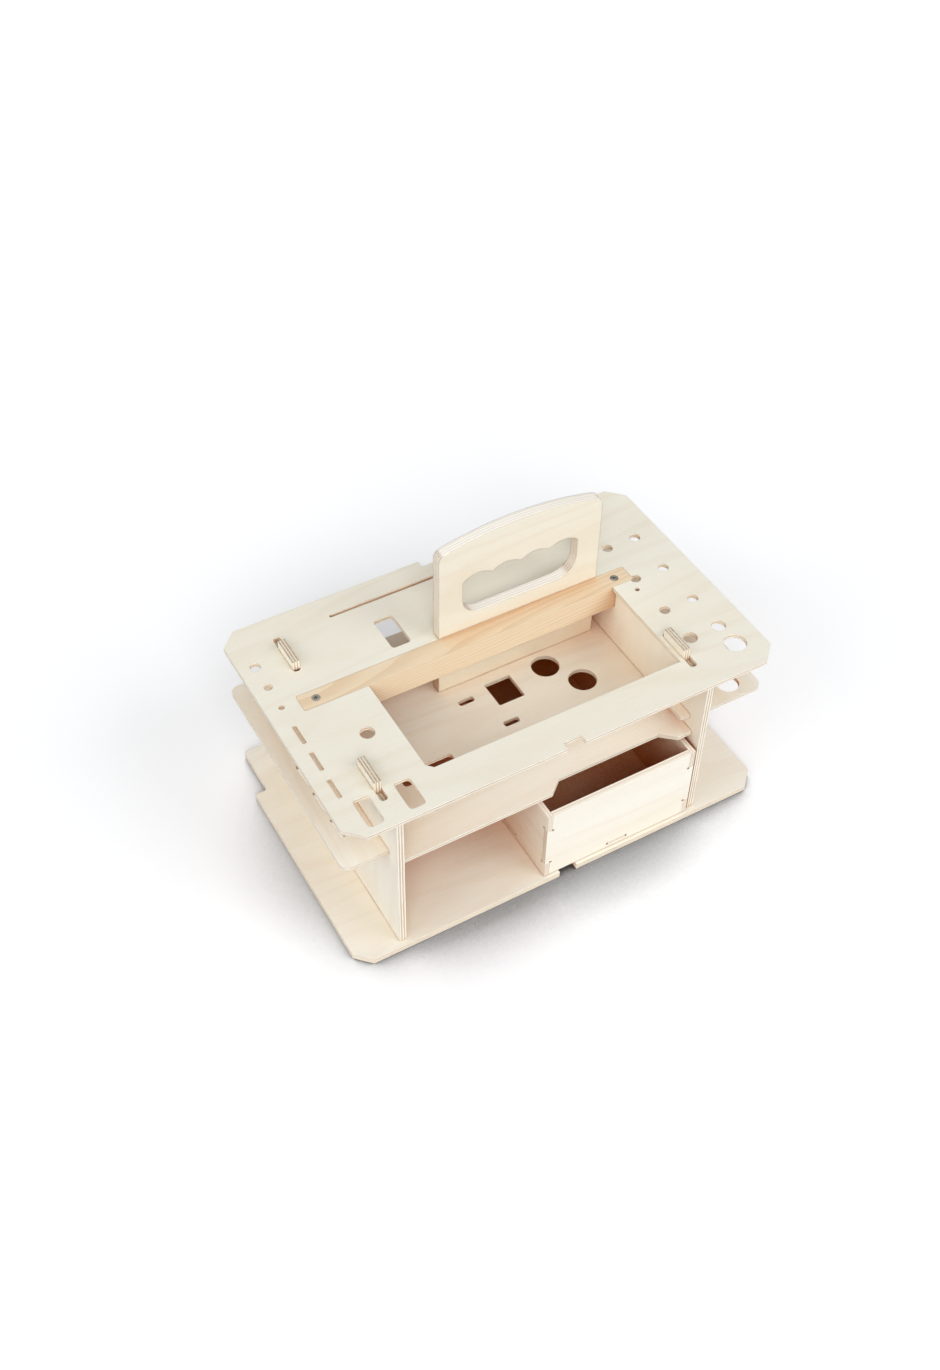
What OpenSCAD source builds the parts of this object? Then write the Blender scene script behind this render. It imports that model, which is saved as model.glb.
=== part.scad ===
// Open plywood tool carrier: slotted sheets on two end panels, a rail with
// an upright hand grip, and a finger-jointed drawer that slides out at the front.
// Origin at the centre of the base's underside, X to the right, Y to the back.

/* [Outline] */
// Length of the base and the top plate, left to right
plate_len = 380; // [350:1:420]
// Depth of the base plate, front to back
base_dep = 241; // [234:1:260]
// How far the top plate's front and back edges lie inside the base plate's
top_inset = 4.25; // [2:0.25:8]
// Height of the end panels from the base to the top plate
panel_h = 146.5; // [136:0.5:170]
// Corner chamfer of the base plate
base_chamfer = 12.6; // [5:0.1:15]
// Corner chamfer of the top plate
top_chamfer = 13.8; // [5:0.1:15]

/* [Sheet thickness] */
// Thickness of the base plate
base_t = 6; // [5:0.1:8]
// Thickness of the end panels
panel_t = 6; // [5:0.1:7.5]
// Thickness of the wing shelves, the inner shelf and the rear panel
shelf_t = 4; // [3:0.1:5]
// Thickness of the top plate
top_t = 4; // [3:0.1:5]
// Thickness of the hand grip's sheet
grip_t = 9; // [8:0.1:11]
// Thickness of the drawer's walls
wall_t = 4.5; // [4:0.1:6]
// Thickness of the drawer's bottom
bottom_t = 3; // [2.5:0.1:4]

/* [Panels and shelves] */
// Width of the left wing, from the plate's end to the panel
left_wing = 37.8; // [34:0.1:42]
// Width of the right wing, from the plate's end to the panel
right_wing = 63.7; // [62:0.1:75]
// How far the end panels' edges lie inside the top plate's, front and back
panel_inset = 0.45; // [0.3:0.05:3]
// How far the wing shelves' edges lie inside the base plate's, front and back
wing_inset = 17.5; // [12:0.5:22]
// How far the inner shelf's edges lie inside the base plate's, front and back
inner_inset = 14.5; // [10:0.5:17]
// Height of the wing shelves' undersides above the base
wing_rise = 99.3; // [96:0.1:106]
// Height of the inner shelf's underside above the base
inner_rise = 84; // [80:0.1:88]
// Corner radius of the wing shelves
wing_corner = 7; // [3:0.5:12]
// How far a wing shelf's tenons stand out inside the panel
tenon_out = 8.6; // [2:0.1:12]
// Length of a wing shelf's tenon, front to back
tenon_len = 40; // [30:1:46]
// Distance of the wing tenons' centres from the middle
tenon_y = 81; // [76:1:86]
// Length of the tabs that lock the panels and shelves
tab_len = 27; // [20:1:34]
// Distance of the end panels' tabs from the middle
panel_tab_y = 68.5; // [62:0.5:72]
// How far the end panels' tabs stand up above the top plate
tab_rise = 8; // [4:0.5:10]
// Distance of the inner shelf's tenons from the middle
shelf_tenon_y = 55; // [48:1:62]
// Distance from the rear panel's back face to the inner shelf's back edge
rear_inset = 4; // [2:0.5:8]
// Extra length of each tab slot in the top plate, towards the plate's edge
slot_reach = 9; // [4:0.5:12]

/* [Edge notches] */
// Width of the notches in the front and back edges
notch_w = 16; // [10:0.5:24]
// Depth of the base plate's notches
base_notch = 7; // [4:0.5:8]
// Depth of the top plate's notches
top_notch = 6.5; // [4:0.5:8]
// Depth of the recesses in the base plate's rear sides
recess_x = 10.8; // [6:0.1:12]
// Distance from the middle to the front end of those recesses
recess_y = 72.5; // [64:0.5:84]
// Corner radius of those recesses
recess_r = 3; // [1:0.5:5]

/* [Well] */
// Distance from the left panel's inner face to the well
well_left = 38; // [36:0.1:44]
// Distance from the well to the right panel's inner face
well_right = 3.9; // [1:0.1:6]
// Distance from the top plate's front edge to the well
well_front = 32.5; // [30:0.1:36]
// Size of the cut-off corner at the well's front left
well_cut = 5; // [2:0.5:10]

/* [Rail and grip] */
// Depth of the rail, front to back
rail_w = 17; // [15:0.5:22]
// Height of the rail
rail_h = 24; // [20:0.5:28]
// Distance of the rail's front face behind the middle
rail_y = 12; // [8:0.5:16]
// How far the rail reaches past each panel's outer face
rail_over = 10.5; // [5:0.5:14]
// Corner radius of the rail in plan
rail_r = 2; // [1:0.5:4]
// Width of the hand grip's sheet
grip_w = 148; // [140:1:160]
// Distance from the sheet's right edge to the well's right edge
grip_right = 5.4; // [3:0.2:12]
// Height of the arch's top above the top plate
grip_h = 96.4; // [90:0.2:112]
// Radius of the arch
arch_r = 270; // [180:5:300]
// How far the arch's highest point lies left of the sheet's middle
arch_shift = 3; // [-6:1:12]
// Corner radius of the hand grip's sheet
grip_corner = 8; // [6:1:14]

/* [Hand hole] */
// Distance from the sheet's left edge to the hand hole
hole_left = 21.5; // [18:0.5:25]
// Width of the hand hole
hole_w = 105; // [92:1:106]
// Height of the hand hole's lower edge above the top plate
hole_low = 15; // [10:0.5:20]
// Height of the finger arcs' highest points above the hand hole's lower edge
hole_h = 41.5; // [36:0.5:44]
// Number of finger arcs
fingers = 4; // [3:1:5]
// Radius of a finger arc
finger_r = 20; // [18:0.5:24]
// Distance between finger arcs
finger_pitch = 26; // [24:0.1:28]
// Radius of the hand hole's lower left corner
hole_r_left = 18; // [10:1:22]
// Radius of the hand hole's lower right corner
hole_r_right = 18; // [15:1:32]

/* [Drawer] */
// Width of the drawer
drawer_w = 139; // [120:1:150]
// Height of the drawer
drawer_h = 76.2; // [68:0.1:79]
// Running gap between the drawer and the right panel
side_gap = 2.8; // [1:0.1:6]
// Running gap under the drawer
under_gap = 0.3; // [0.2:0.1:1]
// Gap between the pushed-in drawer and the rear panel
stop_gap = 0.5; // [0.3:0.1:2]
// Distance from the base's front edge to the drawer's front
drawer_inset = 2.7; // [1:0.1:5]
// Height of the lower corner finger
low_finger = 15.5; // [12:0.5:18]
// Height of the upper corner finger
high_finger = 18; // [12:0.5:20]
// Height of the drawer's bottom sheet above the walls' lower edges
bottom_rise = 2.7; // [2:0.1:6]
// Length of the bottom sheet's tabs
bottom_tab = 17; // [12:0.5:22]
// Distance from the drawer's front and back to the tabs in its sides
side_tab_in = 54; // [40:1:70]
// Radius of the cutter that made the slots' corners and the corner reliefs
cutter_r = 1.2; // [0.8:0.1:1.5]

/* [Finger cut-out] */
// Width of the cut-out at the shelf's front edge
cut_w = 118; // [100:1:126]
// Depth of the cut-out
cut_d = 10.4; // [6:0.1:14]
// How far the slanted ends run inwards
cut_slant = 12.5; // [6:0.5:16]

/* [Tool places in the top plate] */
// Width of the two front slots
front_slot_w = 13.5; // [10:0.5:16]
// Length of the two front slots
front_slot_l = 28; // [20:1:30]
// Corner radius of the front slots
front_slot_r = 3.5; // [1.5:0.5:4.5]
// Distance from the plate's front edge to the front slots' centres
front_slot_y = 20; // [18:0.5:21]
// Distance from the plate's left end to the outer front slot's centre
outer_slot_x = 25.7; // [24:0.1:26]
// Distance from the left panel's inner face to the inner front slot's centre
inner_slot_x = 15.5; // [13:0.5:22]
// Length of a blade slot
blade_slot_l = 20; // [14:1:24]
// Width of a blade slot
blade_slot_w = 3.6; // [3.2:0.1:5]
// Distance from the plate's left end to the blade slots
blade_slot_x = 13.5; // [11:0.5:16]
// Distance between blade slots
blade_pitch = 29.5; // [27:0.5:34]
// Distance from the middle to the first blade slot
blade_first = 66; // [62:1:70]
// Radius of the single tool hole beside the left panel
left_hole_r = 6; // [4:0.5:8]
// Distance from the left panel's inner face to that hole
left_hole_x = 15.2; // [10:0.2:22]
// Distance of that hole from the middle, towards the front
left_hole_y = 30; // [20:1:40]
// Radius of the smallest bit hole
bit_r = 2.5; // [1.5:0.5:3]
// How much each next bit hole's radius grows
bit_step = 1; // [0.5:0.1:1.2]
// Number of bit holes
bit_count = 3; // [2:1:4]
// Distance between bit holes
bit_pitch = 24; // [20:1:26]
// Distance from the middle to the first bit hole, towards the back
bit_first = 24; // [16:1:30]
// Radius of the driver holes
driver_r = 4.5; // [3:0.5:6]
// Distance from the right panel's outer face to the first row of driver holes
driver_x = 12.1; // [11:0.1:16]
// Distance between the two rows of driver holes
driver_row = 27.6; // [22:0.1:32]
// Distance between driver holes in a row
driver_pitch = 42; // [36:1:44]
// Distance from the middle to the first driver hole, towards the front
driver_first = 30.5; // [26:0.5:34]
// Number of driver holes in a row
driver_count = 3; // [2:1:3]
// Radius of the file holes
file_r = 6; // [4:0.5:7]
// Distance from the long tool hole back to the file holes
file_back = 22; // [20:1:26]
// Radius of the long tool hole in the right wing
long_hole_r = 9.5; // [7:0.5:11]
// Distance from the wing shelf's front edge to the long tool hole's centre
long_hole_in = 15; // [13:0.5:18]
// Radius of the pin hole beside the right panel
pin_hole_r = 2; // [1:0.25:3]
// Distance from the left panel's inner face to the saw slot
saw_left = 45; // [30:1:60]
// Distance from the saw slot to the right panel's inner face
saw_right = 11; // [8:1:30]
// Width of the saw slot
saw_slot_w = 3.2; // [3.2:0.2:5]
// Distance from the top plate's back edge to the saw slot
saw_slot_y = 22; // [18:1:28]
// Length of the rule slot
rule_slot_l = 34; // [28:1:38]
// Width of the rule slot
rule_slot_w = 17; // [12:1:20]
// Distance from the grip sheet's left edge to the rule slot's centre
rule_slot_x = 28; // [24:1:34]

/* [Tool places in the inner shelf] */
// Length of a clamp slot
clamp_slot_l = 14; // [10:0.5:18]
// Width of a clamp slot
clamp_slot_w = 6; // [5:0.5:8]
// Corner radius of a clamp slot
clamp_slot_r = 2; // [1:0.25:2.25]
// Distance from the well's right edge to the front clamp slot's centre
clamp_x = 117.4; // [114:0.2:122]
// Distance from the front clamp slot to the back one, along the length
clamp_step_x = 21; // [19:0.5:26]
// Distance from the back clamp slot to the front one, towards the front
clamp_step_y = 37; // [34:0.5:42]
// Distance from the rail's front face to the back clamp slot's centre
clamp_y = 2; // [0:0.5:4]
// Radius of the clamp foot holes
foot_hole_r = 12; // [9:0.5:13]
// Distance from the well's right edge to the front foot hole's centre
foot_x = 42.4; // [38:0.2:46]
// Distance between the foot holes along the length
foot_step_x = 19; // [17:0.5:22]
// Distance between the foot holes, front to back
foot_step_y = 28; // [24:0.5:32]
// Depth of the block-shaped cut-out
block_cut_d = 26; // [20:1:28]
// Width of the block-shaped cut-out
block_cut_w = 24; // [18:1:26]
// Distance from the well's right edge to the block-shaped cut-out's centre
block_x = 104.9; // [100:0.1:106]
// Distance from the rail's front face to that centre, towards the front
block_y = 6.6; // [4:0.2:9]
// Length of the pliers slot
pliers_slot_l = 48; // [36:1:52]
// Width of the pliers slot
pliers_slot_w = 14; // [10:1:18]
// Distance from the middle to the pliers slot, towards the front
pliers_y = 38.5; // [30:0.5:46]

/* [Screws] */
// Radius of the screw shanks
screw_r = 1.75; // [1.5:0.05:2]
// Length of the rail screws
rail_screw_l = 40; // [34:1:45]
// Length of the grip screws
grip_screw_l = 22; // [18:1:24]
// Distance from the grip sheet's sides to the outer grip screws
grip_screw_in = 16; // [10:1:30]
// Height of the grip screws below the rail's top
grip_screw_z = 12; // [9:0.5:15]

/* [Hidden] */
$fn = 48;

// Clearance round every tab and tenon
fit = 0.1;
// Corner radius of the end panels' slots, past both ends of their tabs
slot_r = 2.5;
// Length by which cutting shapes run past a surface
over = 1;

top_dep = base_dep - 2 * top_inset;
panel_dep = top_dep - 2 * panel_inset;
wing_dep = base_dep - 2 * wing_inset;
inner_dep = base_dep - 2 * inner_inset;

panel_top = base_t + panel_h;
top_z = panel_top + top_t;
wing_z = base_t + wing_rise;
inner_z = base_t + inner_rise;
rail_z = top_z - rail_h;

left_outer = -plate_len / 2 + left_wing;
left_inner = left_outer + panel_t;
right_outer = plate_len / 2 - right_wing;
right_inner = right_outer - panel_t;
inner_len = right_inner - left_inner;
inner_mid = (left_inner + right_inner) / 2;

rear_y = inner_dep / 2 - rear_inset - shelf_t;
rear_tab_z = base_t + inner_rise / 2;
rear_tabs = [-inner_len / 3, 0, inner_len / 3];

well_x0 = left_inner + well_left;
well_x1 = right_inner - well_right;
well_y0 = -top_dep / 2 + well_front;
long_hole_y = wing_dep / 2 - long_hole_in;
file_y = long_hole_y - file_back;

rail_x0 = left_outer - rail_over;
rail_x1 = right_outer + rail_over;
rail_back = rail_y + rail_w;
grip_x1 = well_x1 - grip_right;
grip_x0 = grip_x1 - grip_w;
grip_back = rail_back + grip_t;
grip_foot = inner_z + shelf_t;
grip_tabs = [grip_x0 + tab_len, grip_x1 - tab_len];
arch_x = (grip_x0 + grip_x1) / 2 - arch_shift;
arch_z = top_z + grip_h - arch_r;

hole_x0 = grip_x0 + hole_left;
hole_z0 = top_z + hole_low;

drawer_x1 = right_inner - side_gap;
drawer_x0 = drawer_x1 - drawer_w;
drawer_y0 = -base_dep / 2 + drawer_inset;
drawer_y1 = rear_y - stop_gap;
drawer_z0 = base_t + under_gap;
drawer_mid = (drawer_x0 + drawer_x1) / 2;
bottom_z = drawer_z0 + bottom_rise;
side_tabs = [drawer_y0 + side_tab_in, drawer_y1 - side_tab_in];

screw_y = rail_y + rail_w / 2;
head_r = 2 * screw_r;
head_h = 1.4 * screw_r;
tip_l = 3 * screw_r;
cross_w = 0.4 * screw_r;
grip_screws = [grip_x0 + grip_screw_in, (grip_x0 + grip_x1) / 2, grip_x1 - grip_screw_in];

light_ply = [0.95, 0.90, 0.80];
pale_ply = [0.97, 0.93, 0.85];
rail_wood = [0.85, 0.70, 0.48];
steel = [0.70, 0.70, 0.72];

// Centred rectangle with true round corners
module rounded(w, d, r) {
    square([w - 2 * r, d], center = true);
    square([w, d - 2 * r], center = true);
    for (sx = [-1, 1], sy = [-1, 1])
        translate([sx * (w / 2 - r), sy * (d / 2 - r)]) circle(r);
}

// Centred rectangle with its four corners cut off
module chamfered(w, d, c) {
    polygon([
        [-w / 2 + c, -d / 2], [w / 2 - c, -d / 2],
        [w / 2, -d / 2 + c], [w / 2, d / 2 - c],
        [w / 2 - c, d / 2], [-w / 2 + c, d / 2],
        [-w / 2, d / 2 - c], [-w / 2, -d / 2 + c]
    ]);
}

// Notches in the middle of the front and back edges
module edge_notches(dep, notch) {
    for (s = [-1, 1])
        translate([0, s * (dep / 2 - notch / 2 + over / 2)])
            rounded(notch_w, notch + over, cutter_r);
}

// Rectangle from a low corner to a high corner
module span(x0, y0, x1, y1) {
    translate([x0, y0]) square([x1 - x0, y1 - y0]);
}

// Sheet drawn in the YZ plane, with its low X face at x
module upright(x, t) {
    translate([x, 0, 0]) rotate([90, 0, 90]) linear_extrude(t) children();
}

// Sheet drawn in the XZ plane, with its front face at y
module facing(y, t) {
    translate([0, y + t, 0]) rotate([90, 0, 0]) linear_extrude(t) children();
}

// Flat sheet drawn in the XY plane, with its underside at z
module flat(z, t) {
    translate([0, 0, z]) linear_extrude(t) children();
}

// Rectangle centred on a place along the first axis, from low to high on the other
module band(mid, len, low, high) {
    translate([mid - len / 2, low]) square([len, high - low]);
}

// Slots for the end panels' tabs, in a flat sheet
module panel_slots(reach) {
    for (x = [left_outer, right_inner], s = [-1, 1])
        translate([x + panel_t / 2, s * (panel_tab_y + reach / 2)])
            rounded(panel_t + 2 * fit, tab_len + reach + 2 * slot_r, slot_r);
}

// Slots for the rear panel's tabs, in a flat sheet
module rear_slots() {
    for (x = rear_tabs)
        band(inner_mid + x, tab_len + 2 * fit, rear_y - fit, rear_y + shelf_t + fit);
}

// Base plate with its notches, side recesses and slots
module base_plate() {
    color(light_ply) flat(0, base_t) difference() {
        chamfered(plate_len, base_dep, base_chamfer);
        edge_notches(base_dep, base_notch);
        for (s = [-1, 1])
            translate([s * plate_len / 2, recess_y + base_dep / 2])
                rounded(2 * recess_x, base_dep, recess_r);
        panel_slots(0);
        rear_slots();
    }
}

// Outline of an end panel, in Y and Z
module end_panel_outline() {
    difference() {
        union() {
            span(-panel_dep / 2, base_t, panel_dep / 2, panel_top);
            for (s = [-1, 1]) band(s * panel_tab_y, tab_len, 0, top_z + tab_rise);
        }
        span(rail_y - fit, rail_z, rail_back + fit, top_z + over);
        for (s = [-1, 1]) {
            band(s * tenon_y, tenon_len + 2 * fit, wing_z - fit, wing_z + shelf_t + fit);
            band(s * shelf_tenon_y, tab_len + 2 * fit, inner_z - fit, inner_z + shelf_t + fit);
        }
        span(
            rear_y - fit, rear_tab_z - tab_len / 2 - fit,
            rear_y + shelf_t + fit, rear_tab_z + tab_len / 2 + fit
        );
    }
}

// End panel with its low X face at x, drilled for the rail screw
module end_panel(x) {
    color(pale_ply) difference() {
        upright(x, panel_t) end_panel_outline();
        translate([x + panel_t / 2, screw_y, top_z - rail_screw_l - fit])
            cylinder(h = rail_screw_l, r = screw_r + fit / 2);
    }
}

module left_end_panel() {
    end_panel(left_outer);
}

module right_end_panel() {
    end_panel(right_inner);
}

// Rear panel between the end panels, tabbed into its four neighbours
module rear_panel() {
    color(pale_ply) facing(rear_y, shelf_t) {
        span(left_inner + fit, base_t, right_inner - fit, inner_z);
        span(
            left_outer, rear_tab_z - tab_len / 2,
            right_outer, rear_tab_z + tab_len / 2
        );
        for (x = rear_tabs) band(inner_mid + x, tab_len, 0, inner_z + shelf_t);
    }
}

// Wing shelf reaching from the panel at x out to the plate's end, side s
module wing_outline(s, x, w) {
    translate([x, 0]) mirror([s < 0 ? 1 : 0, 0]) {
        difference() {
            translate([w / 2, 0]) rounded(w, wing_dep, wing_corner);
            span(-over, -wing_dep, fit, wing_dep);
        }
        span(fit, -wing_dep / 2, wing_corner, wing_dep / 2);
        for (t = [-1, 1])
            translate([(wing_corner - panel_t - tenon_out) / 2, t * tenon_y])
                rounded(wing_corner + panel_t + tenon_out, tenon_len, recess_r);
    }
}

// Blade slots along the left end, used in the top plate and the wing shelf
module blade_slots() {
    for (i = [0 : 2])
        translate([-plate_len / 2 + blade_slot_x, -blade_first + i * blade_pitch])
            rounded(blade_slot_w, blade_slot_l, cutter_r);
}

// Place of the long tool hole, used in the top plate and the wing shelf
module long_hole() {
    translate([right_outer + driver_x + driver_row, -long_hole_y])
        circle(long_hole_r);
}

module left_wing_shelf() {
    color(light_ply) flat(wing_z, shelf_t) difference() {
        wing_outline(-1, left_outer, left_wing);
        blade_slots();
    }
}

module right_wing_shelf() {
    color(light_ply) flat(wing_z, shelf_t) difference() {
        wing_outline(1, right_outer, right_wing);
        long_hole();
    }
}

// Trapezoid cut-out that lets fingers reach the drawer's front
module finger_cut() {
    front = -inner_dep / 2;
    polygon([
        [drawer_mid - cut_w / 2, front - over],
        [drawer_mid + cut_w / 2, front - over],
        [drawer_mid + cut_w / 2, front],
        [drawer_mid + cut_w / 2 - cut_slant, front + cut_d],
        [drawer_mid - cut_w / 2 + cut_slant, front + cut_d],
        [drawer_mid - cut_w / 2, front]
    ]);
}

// Cut-outs in the inner shelf that hold clamps, pliers and a block
module shelf_places() {
    for (i = [0, 1]) {
        translate([
            well_x1 - clamp_x - i * clamp_step_x,
            rail_y - clamp_y - (1 - i) * clamp_step_y
        ])
            rounded(clamp_slot_l, clamp_slot_w, clamp_slot_r);
        translate([well_x1 - foot_x - i * foot_step_x, rail_y - (1 - i) * foot_step_y])
            circle(foot_hole_r);
    }
    translate([well_x1 - block_x, rail_y - block_y])
        rounded(block_cut_w, block_cut_d, cutter_r);
    translate([well_x0 + pliers_slot_l / 2, -pliers_y])
        rounded(pliers_slot_l, pliers_slot_w, recess_r);
}

// Inner shelf over the drawer and the open bay
module inner_shelf() {
    color(light_ply) flat(inner_z, shelf_t) difference() {
        union() {
            span(left_inner + fit, -inner_dep / 2, right_inner - fit, inner_dep / 2);
            for (s = [-1, 1])
                translate([inner_mid, s * shelf_tenon_y])
                    square([inner_len + 2 * panel_t, tab_len], center = true);
        }
        finger_cut();
        shelf_places();
        rear_slots();
        for (x = grip_tabs)
            band(x, tab_len + 2 * fit, rail_back - fit, grip_back + fit);
    }
}

// Well, with the openings behind it for the rail and the hand grip
module well() {
    polygon([
        [well_x0 + well_cut, well_y0], [well_x1, well_y0],
        [well_x1, rail_y + over], [well_x0, rail_y + over],
        [well_x0, well_y0 + well_cut]
    ]);
    translate([(rail_x0 + rail_x1) / 2, (rail_y + rail_back) / 2])
        rounded(rail_x1 - rail_x0 + 2 * fit, rail_w + 2 * fit, rail_r);
    span(grip_x0 - fit, rail_back - over, grip_x1 + fit, grip_back + fit);
}

// Holes and slots that hold tools on the left of the top plate
module left_places() {
    slot_y = -top_dep / 2 + front_slot_y;
    for (x = [-plate_len / 2 + outer_slot_x, left_inner + inner_slot_x])
        translate([x, slot_y]) rounded(front_slot_w, front_slot_l, front_slot_r);
    blade_slots();
    translate([left_inner + left_hole_x, -left_hole_y]) circle(left_hole_r);
    for (i = [0 : bit_count - 1])
        translate([-plate_len / 2 + blade_slot_x, bit_first + i * bit_pitch])
            circle(bit_r + i * bit_step);
}

// Holes that hold tools on the right of the top plate
module right_places() {
    row = right_outer + driver_x;
    for (r = [0, 1], i = [0 : driver_count - 1])
        translate([row + r * driver_row, -driver_first + i * driver_pitch])
            circle(driver_r);
    for (r = [0, 1])
        translate([row + r * driver_row, -file_y]) circle(file_r);
    long_hole();
    translate([row - driver_x / 2, 0]) circle(pin_hole_r);
}

// Slots for a saw and a rule behind the hand grip
module back_places() {
    translate([inner_mid + (saw_left - saw_right) / 2, top_dep / 2 - saw_slot_y])
        rounded(inner_len - saw_left - saw_right, saw_slot_w, cutter_r);
    translate([grip_x0 - rule_slot_x, grip_back + rule_slot_l / 2])
        rounded(rule_slot_w, rule_slot_l, recess_r);
}

// Top plate
module top_plate() {
    color(light_ply) flat(panel_top, top_t) difference() {
        chamfered(plate_len, top_dep, top_chamfer);
        edge_notches(top_dep, top_notch);
        well();
        panel_slots(slot_reach);
        left_places();
        right_places();
        back_places();
    }
}

// Countersunk screw along -Z with its head's top at the origin
module screw(len) {
    difference() {
        union() {
            translate([0, 0, -head_h]) cylinder(h = head_h, r1 = screw_r, r2 = head_r);
            translate([0, 0, tip_l - len]) cylinder(h = len - tip_l, r = screw_r);
            translate([0, 0, -len]) cylinder(h = tip_l, r1 = screw_r / 8, r2 = screw_r);
        }
        for (a = [0, 90])
            rotate([0, 0, a])
                translate([-head_r / 2, -cross_w / 2, -head_h / 2])
                    cube([head_r, cross_w, head_h]);
    }
}

// Hole for a screw, with its countersink
module screw_hole(len) {
    translate([0, 0, -head_h])
        cylinder(h = head_h, r1 = screw_r + fit / 2, r2 = head_r + fit / 2);
    translate([0, 0, -len - fit]) cylinder(h = len, r = screw_r + fit / 2);
}

// Places of the two rail screws
module at_rail_screws() {
    for (x = [left_outer, right_inner])
        translate([x + panel_t / 2, screw_y, top_z]) children();
}

// Places of the three grip screws, driven from the back
module at_grip_screws() {
    for (x = grip_screws)
        translate([x, grip_back, top_z - grip_screw_z]) rotate([-90, 0, 0]) children();
}

// Rail let into the top plate and the end panels
module handle_rail() {
    color(rail_wood) difference() {
        translate([(rail_x0 + rail_x1) / 2, screw_y, rail_z])
            linear_extrude(rail_h) rounded(rail_x1 - rail_x0, rail_w, rail_r);
        at_rail_screws() screw_hole(rail_screw_l);
        at_grip_screws() screw_hole(grip_screw_l);
    }
}

// Outline of the arched grip sheet, with its fillets tangent to the arch
module grip_outline() {
    fx = [grip_x0 + grip_corner, grip_x1 - grip_corner];
    fz = [for (x = fx) arch_z + sqrt(pow(arch_r - grip_corner, 2) - pow(x - arch_x, 2))];
    span(grip_x0, grip_foot, grip_x1, min(fz));
    for (i = [0, 1]) {
        translate([fx[i], fz[i]]) circle(grip_corner);
        span(
            i == 0 ? grip_x0 : arch_x, grip_foot,
            i == 0 ? arch_x : grip_x1, fz[i]
        );
    }
    intersection() {
        translate([arch_x, arch_z]) circle(arch_r, $fn = 180);
        polygon([
            [arch_x, arch_z],
            [arch_x + 2 * (fx[0] - arch_x), arch_z + 2 * (fz[0] - arch_z)],
            [arch_x + 2 * (fx[1] - arch_x), arch_z + 2 * (fz[1] - arch_z)]
        ]);
        span(grip_x0, grip_foot, grip_x1, arch_z + arch_r + over);
    }
}

// Hand hole with a row of finger arcs along its upper edge
module hand_hole() {
    arc_z = hole_z0 + hole_h - finger_r;
    first = hole_x0 + (hole_w - (fingers - 1) * finger_pitch) / 2;
    intersection() {
        union() {
            span(hole_x0, hole_z0 + hole_r_left, hole_x0 + hole_r_left, hole_z0 + 2 * hole_h);
            translate([hole_x0 + hole_r_left, hole_z0 + hole_r_left]) circle(hole_r_left);
            span(
                hole_x0 + hole_r_left, hole_z0,
                hole_x0 + hole_w - hole_r_right, hole_z0 + 2 * hole_h
            );
            translate([hole_x0 + hole_w - hole_r_right, hole_z0 + hole_r_right])
                circle(hole_r_right);
            span(
                hole_x0 + hole_w - hole_r_right, hole_z0 + hole_r_right,
                hole_x0 + hole_w, hole_z0 + 2 * hole_h
            );
        }
        union() {
            span(hole_x0, hole_z0, hole_x0 + hole_w, arc_z);
            for (i = [0 : fingers - 1])
                translate([first + i * finger_pitch, arc_z]) circle(finger_r);
        }
    }
}

// Upright sheet with the hand grip, behind the rail
module handle_plate() {
    color(light_ply) difference() {
        facing(rail_back, grip_t) difference() {
            union() {
                grip_outline();
                for (x = grip_tabs) band(x, tab_len, inner_z, grip_foot);
            }
            hand_hole();
        }
        at_grip_screws() screw_hole(grip_screw_l);
    }
}

module rail_screws() {
    color(steel) at_rail_screws() screw(rail_screw_l);
}

module handle_screws() {
    color(steel) at_grip_screws() screw(grip_screw_l);
}

// Outline of the drawer's front or back, with slots for the bottom sheet
module drawer_end_outline() {
    z1 = drawer_z0 + low_finger;
    z2 = drawer_z0 + drawer_h - high_finger;
    difference() {
        union() {
            span(drawer_x0 + wall_t, drawer_z0, drawer_x1 - wall_t, drawer_z0 + drawer_h);
            span(drawer_x0, z1, drawer_x1, z2);
        }
        for (s = [-1, 1])
            translate([drawer_mid + s * (drawer_w / 2 - wall_t - cutter_r / 2), 0]) {
                translate([0, z1 + cutter_r / 2]) circle(cutter_r);
                translate([0, z2 - cutter_r / 2]) circle(cutter_r);
            }
        bottom_slot(drawer_mid);
    }
}

// Slot for a tab of the bottom sheet, with a round relief at each end
module bottom_slot(mid) {
    span(
        mid - bottom_tab / 2 - fit, bottom_z - fit,
        mid + bottom_tab / 2 + fit, bottom_z + bottom_t + fit
    );
    for (s = [-1, 1])
        translate([mid + s * bottom_tab / 2, bottom_z + bottom_t / 2])
            circle(bottom_t / 2 + fit);
}

// Outline of a drawer side, in Y and Z
module drawer_side_outline() {
    z1 = drawer_z0 + low_finger + fit;
    z2 = drawer_z0 + drawer_h - high_finger - fit;
    difference() {
        span(drawer_y0, drawer_z0, drawer_y1, drawer_z0 + drawer_h);
        span(drawer_y0 - over, z1 - 2 * fit, drawer_y0 + wall_t + fit, z2 + 2 * fit);
        span(drawer_y1 - wall_t - fit, z1 - 2 * fit, drawer_y1 + over, z2 + 2 * fit);
        for (y = [drawer_y0 + wall_t + cutter_r / 2, drawer_y1 - wall_t - cutter_r / 2]) {
            translate([y, z1 - cutter_r / 2]) circle(cutter_r);
            translate([y, z2 + cutter_r / 2]) circle(cutter_r);
        }
        for (y = side_tabs) bottom_slot(y);
    }
}

module drawer_front() {
    color(pale_ply) facing(drawer_y0, wall_t) drawer_end_outline();
}

module drawer_back() {
    color(pale_ply) facing(drawer_y1 - wall_t, wall_t) drawer_end_outline();
}

module drawer_left_side() {
    color(pale_ply) upright(drawer_x0, wall_t - fit) drawer_side_outline();
}

module drawer_right_side() {
    color(pale_ply) upright(drawer_x1 - wall_t + fit, wall_t - fit) drawer_side_outline();
}

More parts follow.
